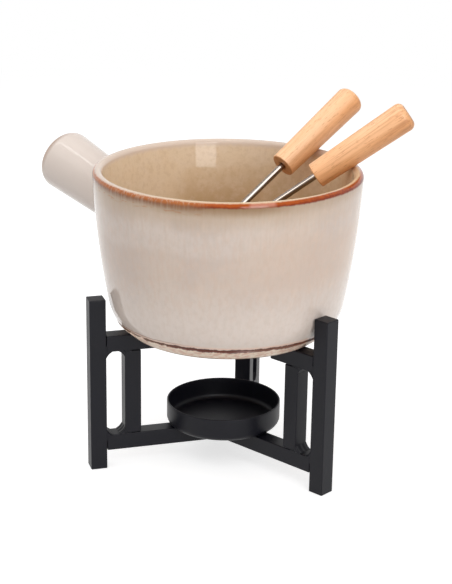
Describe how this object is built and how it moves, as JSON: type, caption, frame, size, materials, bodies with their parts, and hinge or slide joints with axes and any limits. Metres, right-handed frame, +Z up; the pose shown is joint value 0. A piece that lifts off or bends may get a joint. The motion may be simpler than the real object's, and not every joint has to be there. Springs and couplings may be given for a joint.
{
  "type": "fondue pot set",
  "caption": "Tapered stoneware fondue pot with a stub handle on a welded square-bar stand with a burner tray, with wood-handled forks leaning on its rim.",
  "frame": {"origin": "on the stand's axis, at table level", "axes": "+Z up; one leg of the stand points to +Y; the pot's handle points to -X and +Y, the forks' handles to +X and +Y"},
  "size_m": [0.2417, 0.1707, 0.2214],
  "materials": {
    "glaze": "glossy cream glaze with a rust-coloured line at the rim",
    "black_paint": "satin black powder coat",
    "stainless": "polished",
    "beech": "smooth, lightly oiled"
  },
  "bodies": {
    "stand": {"post_back": "black_paint", "post_left": "black_paint", "post_right": "black_paint", "upper_rail_back": "black_paint", "upper_rail_left": "black_paint", "upper_rail_right": "black_paint", "lower_rail_back": "black_paint", "lower_rail_left": "black_paint", "lower_rail_right": "black_paint", "upright_back": "black_paint", "upright_left": "black_paint", "upright_right": "black_paint", "welds_back": "black_paint", "welds_left": "black_paint", "welds_right": "black_paint", "burner_tray": "black_paint"},
    "pot": {"pot_body": "glaze"},
    "fork_1": {"fork_shaft_1": "stainless", "fork_handle_1": "beech"},
    "fork_2": {"fork_shaft_2": "stainless", "fork_handle_2": "beech"}
  },
  "joints": [
    {"name": "pot_lift", "type": "slide", "parent": "stand", "child": "pot", "axis": [0, 0, 1], "range_m": [0, 0.06]},
    {"name": "fork_1_pull", "type": "slide", "parent": "pot", "child": "fork_1", "axis": [0.5433, 0.6249, 0.5606], "range_m": [0, 0.18]},
    {"name": "fork_2_pull", "type": "slide", "parent": "pot", "child": "fork_2", "axis": [0.791, 0.1884, 0.5821], "range_m": [0, 0.18]}
  ]
}
